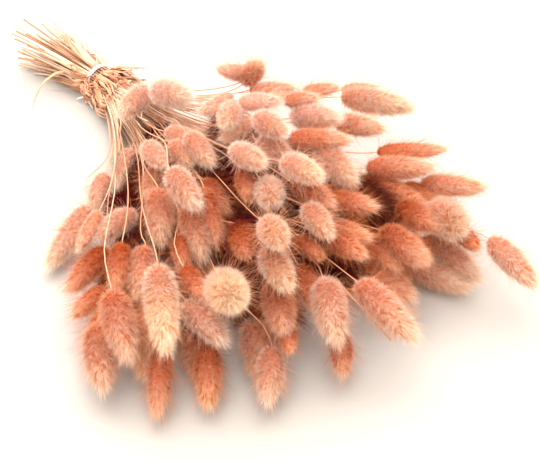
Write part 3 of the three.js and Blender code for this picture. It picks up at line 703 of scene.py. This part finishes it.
def fluff_tree():
    """Hairs over the cores of heads: a short dense pile and a few long awns, combed to the tip."""
    tree = bpy.data.node_groups.new("bunny_tail_fluff", "GeometryNodeTree")
    tree.is_modifier = True
    node = partial(add, tree)
    for name, kind in (
        ("Cores", "Geometry"), ("Pile hair", "Object"), ("Awn", "Object"),
        ("Pile per area", "Float"), ("Pile width", "Float"),
        ("Awns per area", "Float"), ("Awn width", "Float"), ("Awn length", "Float"),
        ("Seed", "Int"), ("Plume", "Material"),
    ):
        tree.interface.new_socket(name, in_out="INPUT", socket_type=f"NodeSocket{kind}")
    tree.interface.new_socket("Heads", in_out="OUTPUT", socket_type="NodeSocketGeometry")
    given = node("NodeGroupInput").outputs
    outward, comb, crowd, reach, grown = (
        node("GeometryNodeInputNamedAttribute", {"Name": name}, data_type=kind)
        for name, kind in (("outward", "FLOAT_VECTOR"), ("comb", "FLOAT_VECTOR"),
                           ("crowd", "FLOAT"), ("reach", "FLOAT"), ("grown", "FLOAT"))
    )
    here = node("GeometryNodeInputPosition")
    pits = node("ShaderNodeTexNoise", {"Vector": here, "Scale": 1 / (PIT * MM), "Detail": 0.0})
    pile_grown = node("ShaderNodeMapRange", {
        "Value": pits.outputs["Fac"], "From Min": PIT_EDGES[0], "From Max": PIT_EDGES[1],
        "To Min": 1 - PIT_DEPTH,
    })
    clump = node("ShaderNodeTexNoise", {"Vector": here, "Scale": 1 / (CLUMP * MM), "Detail": 1.0})
    toward = node("ShaderNodeVectorMath", {0: clump.outputs["Color"], 1: (0.5,) * 3},
                 operation="SUBTRACT")
    toward = node("ShaderNodeVectorMath", {0: toward, 1: (CLUMPING,) * 3}, operation="MULTIPLY")
    whole = node("GeometryNodeJoinGeometry")
    tree.links.new(given["Cores"], whole.inputs[0])
    # Each kind of hair has its density, width, length and growth, how far it strays aside, turns
    # about itself and is swept flat, and where its random draws start
    for hair, per_area, width, length, growth, stray, roll, swept, salt in (
        ("Pile hair", given["Pile per area"], given["Pile width"], reach, pile_grown,
         0.3, 0.9, 0.0, 11),
        ("Awn", given["Awns per area"], given["Awn width"], given["Awn length"], AWN_GROWN,
         0.35, 3.1, 0.2, 51),
    ):
        strand, aside, angle, uneven = (
            node("FunctionNodeRandomValue", {
                **ends, "Seed": node("ShaderNodeMath", {0: given["Seed"], 1: salt + n}),
            }, data_type=kind).outputs[shown]
            for n, (ends, kind, shown) in enumerate((
                ({2: 0.0, 3: 1.0}, "FLOAT", 1),
                ({0: (-stray,) * 3, 1: (stray,) * 3}, "FLOAT_VECTOR", 0),
                ({2: -roll, 3: roll}, "FLOAT", 1),
                ({2: HAIR_LENGTHS[0], 3: HAIR_LENGTHS[1]}, "FLOAT", 1),
            ))
        )
        density = node("ShaderNodeMath", {0: per_area, 1: crowd}, operation="MULTIPLY")
        kept = node("GeometryNodeDistributePointsOnFaces", {
            "Mesh": given["Cores"], "Density": density, "Seed": given["Seed"],
        })
        for key, value in (("strand", strand), ("grown", growth)):
            kept = node("GeometryNodeStoreNamedAttribute", {
                "Geometry": kept, "Name": key, "Value": value,
            }, data_type="FLOAT", domain="POINT")
        flat = node("ShaderNodeVectorMath", {0: outward, 1: (swept,) * 3}, operation="MULTIPLY")
        combed = node("ShaderNodeVectorMath", {0: comb, 1: flat}, operation="SUBTRACT")
        loose = node("ShaderNodeVectorMath", {0: toward, 1: aside})
        direction = node("ShaderNodeVectorMath", {0: combed, 1: loose})
        stood = node("FunctionNodeAlignRotationToVector", {"Vector": direction}, axis="Z")
        faced = node("FunctionNodeAlignRotationToVector", {
            "Rotation": stood, "Vector": outward,
        }, axis="Y", pivot_axis="Z")
        twist = node("FunctionNodeAxisAngleToRotation", {"Axis": (0, 0, 1), "Angle": angle})
        turned = node("FunctionNodeRotateRotation", {
            "Rotation": faced, "Rotate By": twist,
        }, rotation_space="LOCAL")
        blade = node("GeometryNodeObjectInfo", {"Object": given[hair]})
        full = node("ShaderNodeMath", {0: length, 1: uneven}, operation="MULTIPLY")
        long = node("ShaderNodeMath", {0: full, 1: grown}, operation="MULTIPLY")
        scale = node("ShaderNodeCombineXYZ", {"X": width, "Y": long, "Z": long})
        hairs = node("GeometryNodeInstanceOnPoints", {
            "Points": kept, "Instance": blade.outputs["Geometry"],
            "Rotation": turned, "Scale": scale,
        })
        real = node("GeometryNodeRealizeInstances", {"Geometry": hairs})
        soft = node("GeometryNodeSetMeshNormal", {
            "Mesh": real, "Custom Normal": outward,
        }, mode="FREE", domain="POINT")
        tree.links.new(soft.outputs[0], whole.inputs[0])
    finish = node("GeometryNodeSetMaterial", {"Geometry": whole, "Material": given["Plume"]})
    node("NodeGroupOutput", {"Heads": finish})
    return tree


def head_nodes():
    """Heads that are pressed into one another share a node, named after its first head."""
    nodes = []
    for head in heads:
        touching = [
            node for node in nodes
            if any(one.name in head.pressed or head.name in one.pressed for one in node)
        ]
        nodes = [node for node in nodes if node not in touching]
        nodes.append(sorted([*sum(touching, []), head], key=heads.index))
    return nodes


def grow_heads():
    pile_hair, awn = (
        piece(name, np.array(points) / MM, faces, PLUME, {"rise": rise}, smooth=False)
        for name, (points, rise, faces) in (("pile_hair", PILE_HAIR), ("awn", AWN))
    )
    tree = fluff_tree()
    sockets = {item.name: item.identifier for item in tree.interface.items_tree}
    for node in head_nodes():
        points, faces, attributes = joined([tail_core(head, heads.index(head)) for head in node])
        rough = piece("cores", points, faces, PLUME, attributes)
        modifier = rough.modifiers.new("fluff", "NODES")
        modifier.node_group = tree
        for name, value in {
            "Pile hair": pile_hair, "Awn": awn,
            "Pile per area": PILE_PER_AREA / MM**2, "Pile width": PILE_WIDTH * MM,
            "Awns per area": AWN_PER_AREA / MM**2, "Awn width": AWN_WIDTH * MM,
            "Awn length": AWN_LENGTH * MM, "Seed": heads.index(node[0]), "Plume": PLUME,
        }.items():
            modifier[sockets[name]] = value
        bpy.context.view_layer.update()
        dressed = rough.evaluated_get(bpy.context.evaluated_depsgraph_get())
        name = f"bunny_tails_{node[0].name}"
        mesh = bpy.data.meshes.new_from_object(dressed)
        mesh.name = name
        bpy.data.objects.remove(rough)
        tails = placed(name, mesh)
        flat = np.empty(len(mesh.vertices) * 3, np.float32)
        mesh.vertices.foreach_get("co", flat)
        flat[2::3] = np.clip(flat[2::3], LOWEST_HAIR * MM, HIGHEST_HAIR * MM)
        mesh.vertices.foreach_set("co", flat)
        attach(tails, "root")
        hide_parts(f"heads_{node[0].name}")
    bpy.data.objects.remove(pile_hair)
    bpy.data.objects.remove(awn)


# Stems, leaves and string

STEM_AROUND = 6
STEM_SKIN = (0.75, 0.56, 0.48, 0.46)  # of the radius that a stem takes up, along its length
LEAF_CUP = 0.45  # of the half width
ACROSS = (-1, -0.5, 0, 0.5, 1)  # the points from side to side of a leaf strip
RUFF_LEAVES = 70
CAD_RUFF = 8  # of them, wide ones
FRAYS = 4  # strips that each wide sheath has split into
CUT_LEAVES = 160
CRUMPLED = 150
STRAY_STEMS = 40
FAN_START = -14  # where the stems have left the neck
PLY_RADIUS = 0.33
PLY_OFFSET = 0.3
PLY_PITCH = 3.2


def tube(path, radii, tone, dyed, around=STEM_AROUND):
    """A closed round tube through points, with its tone and dye at each one."""
    path = np.asarray(path, float)
    ways = unit(np.gradient(path, axis=0))
    angles = np.arange(around) * 2 * math.pi / around
    rings = []
    side, _ = square_to(ways[0])
    for point, way, radius in zip(path, ways, radii):
        side = unit(side - way * (side @ way))
        across = np.cross(way, side)
        spokes = np.cos(angles)[:, None] * side + np.sin(angles)[:, None] * across
        rings.append(point + radius * spokes)
    points = np.concatenate([*rings, path[:1], path[-1:]])

    def spread(values):
        return np.concatenate([np.repeat(values, around), values[:1], values[-1:]])

    return points, ring_faces(len(path), around), {"tone": spread(tone), "dyed": spread(dyed)}


def smooth_stem(k):
    """A stem from its cut end, or from under the string where it is broken off short, to its
    head."""
    path = paths[k]
    if k % 3 == 2:
        back = [necks[k]]
    else:
        end = cut_end(necks[k], k)
        behind = np.array([necks[k][0], NECK_HALF_LENGTH, necks[k][2]])
        bow = behind + [0, 0.35 * (end[1] - NECK_HALF_LENGTH), 0]
        back = list(bezier((end, mix(end, bow, 0.5), bow, behind), np.linspace(0, 1, 7)))
    return np.concatenate([back, path])


def ribbon(path, out, half_widths, rolls, tone, dyed):
    """A dried leaf strip through points, cupped like a split sheath. It faces away from the
    bundle's middle line, and rolls about its own length."""
    path = np.asarray(path, float)
    ways = unit(np.gradient(path, axis=0))
    rows = []
    for point, way, half, roll in zip(path, ways, half_widths, rolls):
        normal = unit(out - way * (out @ way))
        side = np.cross(way, normal)
        side, normal = (math.cos(roll) * side + math.sin(roll) * normal,
                        math.cos(roll) * normal - math.sin(roll) * side)
        rows.append([point + u * half * side - LEAF_CUP * u * u * half * normal for u in ACROSS])
    points = np.array(rows).reshape(-1, 3)
    points[:, 2] = np.maximum(points[:, 2], LOWEST_HAIR)
    wide = len(ACROSS)
    faces = [
        [n, n + 1, n + wide + 1, n + wide]
        for k in range(len(path) - 1) for n in range(wide * k, wide * k + wide - 1)
    ]
    count = len(points)
    return points, faces, {"tone": np.full(count, tone), "dyed": np.full(count, dyed)}


def outwards(angle):
    """The direction square to the bundle at an angle from +X towards +Z."""
    return np.array([math.cos(angle), 0, math.sin(angle)])


def ruff_leaves():
    """The crumpled leaf sheaths round the neck: each one starts under the string and peels away.
    The wide ones have split into strips, and small ones fill up between them."""
    first_side, sweep, small_sides = -20, 230, (-25, 215)  # in degrees from +X towards +Z
    lengths, small_length = (22, 42), (0.35, 1.15)
    lifts, small_lift, flare, inset = (3, 11), 0.55, 4, 1.5
    widths, small_width, split_width, split_gap = (2.5, 4.5), 0.45, (0.25, 0.5), 1.7
    small_backwards, wander, start = 0.2, (3, 2), 5
    narrowing, crumple, most_roll = 0.75, 0.18, 3
    strips = []
    shares = np.linspace(0, 1, 13)
    wide = [(k, fray) for k in range(CAD_RUFF) for fray in range(FRAYS)]
    for k, fray in wide + [(k, 0) for k in range(CAD_RUFF, RUFF_LEAVES)]:
        small = k >= CAD_RUFF
        n = 3 * k + 5000 if small else k
        even = first_side + sweep * (k + 0.6 * chance(n + 600)) / CAD_RUFF
        place = math.radians(drawn(*small_sides, n + 600) if small else even)
        forwards = chance(n + 612) >= small_backwards if small else k % 5 < 4
        length = drawn(*lengths, n + 610) * (drawn(*small_length, n + 611) if small else 1)
        lift = drawn(*lifts, n + 620) * (small_lift if small else 1)
        width = drawn(*widths, n + 630) * (small_width if small else 1)
        out = outwards(place)
        away = NECK_RADIUS - inset + lift * np.sin(2.4 * shares) + flare * shares * shares
        points = out * away[:, None] + np.stack([
            wander[0] * shares * np.sin(5 * shares + k),
            (start + length * shares) * (-1 if forwards else 1),
            wander[1] * shares * np.cos(6 * shares + 2 * k) + AXIS_HEIGHT,
        ], axis=1)
        if not small:
            width *= drawn(*split_width, n + 7 * fray + 670)
            apart = split_gap * (fray - (FRAYS - 1) / 2)
            apart = apart * (0.4 + shares + 0.5 * np.sin(8 * shares + fray))
            points += apart[:, None] * np.cross(out, [0, 1, 0])
            points += out * (0.8 * math.sin(fray) * shares[:, None])
        half = width * (1 - narrowing * shares**2) * (1 + crumple * np.sin(17 * shares + k))
        roll = most_roll * (chance(n + 640) - 0.5)
        rolls = roll * (0.3 + shares) + 0.35 * np.sin(11 * shares + 2 * k)
        tone, dyed = drawn(0.1, 0.75, n + fray + 650), drawn(0, 0.6, n + fray + 660)
        strips.append(ribbon(points, out, half, rolls, tone, dyed))
    return strips


def cut_leaves():
    """Leaf blades and split sheaths among the cut ends, some curled away from the rest."""
    innermost, inset, start_at, lean = 0.1, 0.6, 2, 8
    length_share, most_curl, far_curl, far_every = (0.45, 1.08), 6, 12, 9
    widths, wide_rare, narrowing, crumple, waves = (0.35, 1.3), 1.5, 0.6, 0.15, 1.6
    turn, twist = (-1.4, 1.4), (-1.5, 1.5)
    strips = []
    shares = np.linspace(0, 1, 11)
    for k in range(CUT_LEAVES):
        n = 7 * k + 9000
        out = outwards(2 * math.pi * chance(n))
        start = out * math.sqrt(drawn(innermost, 1, n + 1)) * (NECK_RADIUS - inset)
        length = drawn(*CUT_LENGTH, n + 2) * drawn(*length_share, n + 3)
        curl = drawn(-1, 1, n + 4) * most_curl + (far_curl if k % far_every == 0 else 0)
        far = shares * length / CUT_LENGTH[1]
        wave = waves * np.sin(6 * shares + k) * shares
        points = start * (1 + CUT_SPREAD * far)[:, None] + out * (curl * shares**2)[:, None]
        points += np.stack([
            wave - lean * far, start_at + (length - start_at) * shares, AXIS_HEIGHT - wave,
        ], axis=1)
        width = mix(*widths, chance(n + 5) ** wide_rare)
        half = width * (1 - narrowing * shares**3) * (1 + crumple * np.sin(15 * shares + k))
        rolls = drawn(*turn, n + 6) + drawn(*twist, n + 7) * shares
        tone, dyed = drawn(0.1, 0.95, n + 8), drawn(0, 0.35, n + 9)
        strips.append(ribbon(points, out, half, rolls, tone, dyed))
    return strips


def fan_surface(out, y):
    """How far the outer stems lie from the bundle's middle line in a direction, at a distance
    along it."""
    reach = [np.interp(-y, -path[:, 1], (path - [0, 0, AXIS_HEIGHT]) @ out) for path in paths]
    return np.quantile(reach, 0.93)


def crumpled_leaves():
    """Short torn shreds of leaf sheath that are matted together over the string's edge and on top
    of the fan."""
    collar_sides, fan_sides = (150, 228), (48, 165)  # in degrees from +X towards +Z
    collar_starts, fan_starts, sunk = (2.5, -3.5), (-4, -46), 0.5
    over_string = NECK_RADIUS + STRING_GAP + 2.2 * STRING_RADIUS
    lengths, headings, lifts, curls = (7, 18), (-70, 70), (0.5, 4.5), (-3, 3)
    widths, narrowing, crumple, ripple = (0.5, 1.7), 0.7, 0.3, 0.8
    turn, twist = (-1.2, 1.2), (-2.2, 2.2)
    strips = []
    shares = np.linspace(0, 1, 8)
    for k in range(CRUMPLED):
        n = 11 * k + 20000
        collar = k % 5 < 2
        out = outwards(math.radians(drawn(*(collar_sides if collar else fan_sides), n)))
        start = drawn(*(collar_starts if collar else fan_starts), n + 1)
        under = over_string if collar else fan_surface(out, min(start, FAN_START)) - sunk
        length = drawn(*lengths, n + 2)
        heading = math.radians(drawn(*headings, n + 3))
        way = math.sin(heading) * np.cross(out, [0, 1, 0]) - [0, math.cos(heading), 0]
        lift, curl = drawn(*lifts, n + 4), drawn(*curls, n + 5)
        away = under + lift * np.sin(math.pi * shares) + ripple * np.sin(9 * shares + k)
        side = curl * np.sin(3 * shares + k)
        points = (np.array([0, start, AXIS_HEIGHT]) + out * away[:, None]
                  + way * (length * shares)[:, None] + np.cross(out, way) * side[:, None])
        width = drawn(*widths, n + 6)
        half = width * (1 - narrowing * shares**3) * (1 + crumple * np.sin(13 * shares + k))
        rolls = drawn(*turn, n + 7) + drawn(*twist, n + 8) * shares
        tone, dyed = chance(n + 9) ** 1.3, drawn(0.1, 0.75, n + 10)
        strips.append(ribbon(points, out, half, rolls, tone, dyed))
    return strips


def stray_stems():
    """Thin bare side stems that cross over the fan at a slant."""
    sides, slant = (50, 185), (-40, 40)  # in degrees from +X towards +Z
    starts, ends, thickness, lowest = (-6, -25), (-55, -120), (0.6, 0.4), 1
    strays = []
    shares = np.linspace(0, 1, 12)
    for k in range(STRAY_STEMS):
        n = 13 * k + 31000
        first = drawn(*sides, n)
        last = first + drawn(*slant, n + 1)
        near, far = drawn(*starts, n + 2), drawn(*ends, n + 3)
        radii = mix(*thickness, shares)
        points = []
        for share in shares:
            out, y = outwards(math.radians(mix(first, last, share))), mix(near, far, share)
            above = fan_surface(out, min(y, FAN_START)) + radii[0]
            points.append([0, y, AXIS_HEIGHT] + out * above)
        points = np.array(points)
        points[:, 2] = np.maximum(points[:, 2], lowest)
        tone = drawn(0.35, 1, n + 4) + 0 * shares
        strays.append(tube(points, radii, tone, 0.25 * shares))
    return strays


def lone_straws():
    """The curled sheath that hangs from the cut ends, and the one bare stem whose head has broken
    off, as pixels and heights."""
    sheath, bare = (np.array([at_height(line[:2], line[2]) for line in path]) for path in (
        [(66, 70, 17), (55, 73, 17), (46, 80, 15), (39, 89, 11), (35, 99, 6), (33, 108, 1.5)],
        [(336, 278, 36), (348, 293, 34), (360, 306, 31), (375, 322, 27), (391, 340, 22)],
    ))
    shares, even = np.linspace(0, 1, len(sheath)), np.ones(len(bare))
    facing, widths, radius = np.array([-0.5, 0, 0.85]), mix(1.2, 0.35, shares), 0.65
    return [
        ribbon(sheath, facing, widths, 1.5 * shares, tone=0.55, dyed=0.4),
        tube(bare, radius * even, tone=0.3 * even, dyed=0.3 * even),
    ]


def straw_piece():
    parts = []
    for k in range(len(heads)):
        path = smooth_stem(k)
        share = np.linspace(0, 1, len(path))
        tone = 0.25 + 0.6 * chance(k + 900) - 0.2 * share
        radii = mix(*STEM_RADIUS, share) * np.interp(share, (0, 0.35, 0.7, 1), STEM_SKIN)
        parts.append(tube(path, radii, tone, np.clip((share - 0.4) * 1.6, 0, 0.8)))
    parts += ruff_leaves() + cut_leaves() + crumpled_leaves() + stray_stems() + lone_straws()
    points, faces, attributes = joined(parts)
    straw = piece("stems_and_sheaths", points, faces, STRAW, attributes)
    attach(straw, "root")
    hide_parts("stems_and_leaves")


def cord(path, part=0.0):
    """Two plies twisted round each other along a path."""
    plies = []
    path = np.asarray(path, float)
    ways = unit(np.gradient(path, axis=0))
    steps = np.linalg.norm(np.diff(path, axis=0), axis=1)
    along = np.concatenate([[0], np.cumsum(steps)])
    side, _ = square_to(ways[0])
    for ply in range(2):
        centres = []
        for point, way, far in zip(path, ways, along):
            side = unit(side - way * (side @ way))
            across = np.cross(way, side)
            angle = 2 * math.pi * far / PLY_PITCH + math.pi * ply + part
            aside = math.cos(angle) * side + math.sin(angle) * across
            centres.append(point + PLY_OFFSET * aside)
        none = np.zeros(len(path))
        plies.append(tube(centres, none + PLY_RADIUS, none, none, 5))
    return plies


def string_piece():
    """Turns of string side by side round the neck, with a knot and two short tails."""
    inside = NECK_RADIUS + STRING_GAP
    middle = inside + STRING_RADIUS
    parts = []
    for turn in range(STRING_TURNS):
        angles = np.linspace(0, 2 * math.pi, 170)
        y = 2 * STRING_RADIUS * (turn - (STRING_TURNS - 1) / 2)
        parts += cord(np.stack([
            middle * np.cos(angles), y + 0 * angles, AXIS_HEIGHT + middle * np.sin(angles),
        ], axis=1), turn)
    out = outwards(math.radians(KNOT_ANGLE))
    knot = out * (inside + 1.5 * STRING_RADIUS) + [0, 0, AXIS_HEIGHT]
    turns = np.linspace(0, 2 * math.pi, 60)
    lace = np.stack([
        np.sin(turns) + 2 * np.sin(2 * turns), np.cos(turns) - 2 * np.cos(2 * turns),
        -np.sin(3 * turns),
    ], axis=1) * KNOT_RADIUS / 3.4
    side, across = square_to(out)
    parts += cord(knot + lace @ np.array([side, across, out]))
    for end in TAIL_ENDS:
        bend = mix(knot, np.array(end, float), 0.5) + out * KNOT_RADIUS
        curve = (knot, mix(knot, bend, 0.8), bend, np.array(end, float))
        parts += cord(bezier(curve, np.linspace(0, 1, 40)))
    points, faces, attributes = joined(parts)
    points[:, 2] = np.maximum(points[:, 2], 0)
    string = piece("tied_string", points, faces, STRING, attributes)
    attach(string, "root")
    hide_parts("string")


# Camera, floor and light

FLOOR_HALF = 4000
SENSOR_WIDTH = 36
FARTHEST_SEEN = 20  # in metres
ROOM_COLOUR = "FFF5ED"
ROOM_STRENGTH = 1.22
# Strength, width in degrees and direction of each wide soft lamp
LAMPS = {
    "softbox_behind": (6.0, 74, (-0.4, -0.56, -1.0)),
    "softbox_in_front": (3.5, 60, (0.6, 0.5, -1.0)),
}


def turned(side, across, away):
    """The turn of a camera or a lamp that looks against a direction."""
    return Matrix([side, across, away]).transposed().to_4x4()


def place_camera():
    camera = bpy.data.cameras.new("camera")
    camera.sensor_width = SENSOR_WIDTH
    camera.lens = FOCAL * SENSOR_WIDTH / FRAME_WIDTH
    camera.clip_end = FARTHEST_SEEN
    matrix = turned(RIGHT, UP, -FORWARD)
    matrix.translation = EYE * MM
    bpy.context.scene.camera = placed("camera", camera)
    bpy.context.scene.camera.matrix_world = matrix


def lay_floor():
    """Paper that fills the view."""
    half = FLOOR_HALF
    corners = [(-half, -half, 0), (half, -half, 0), (half, half, 0), (-half, half, 0)]
    piece("floor", corners, [[0, 1, 2, 3]], PAPER)


def light():
    """Wide soft lamps behind and in front, in a warm white room."""
    world = bpy.data.worlds.new("soft_white_room")
    world.use_nodes = True
    room = world.node_tree.nodes["Background"].inputs
    room["Color"].default_value = linear(ROOM_COLOUR)
    room["Strength"].default_value = ROOM_STRENGTH
    bpy.context.scene.world = world
    for name, (strength, angle, towards) in LAMPS.items():
        sun = bpy.data.lights.new(name, "SUN")
        sun.energy = strength
        sun.angle = math.radians(angle)
        away = -unit(np.array(towards))
        placed(name, sun).matrix_world = turned(*square_to(away), away)


place_camera()
lay_floor()
light()
bpy.context.scene.view_settings.view_transform = "Standard"
grow_heads()
straw_piece()
string_piece()
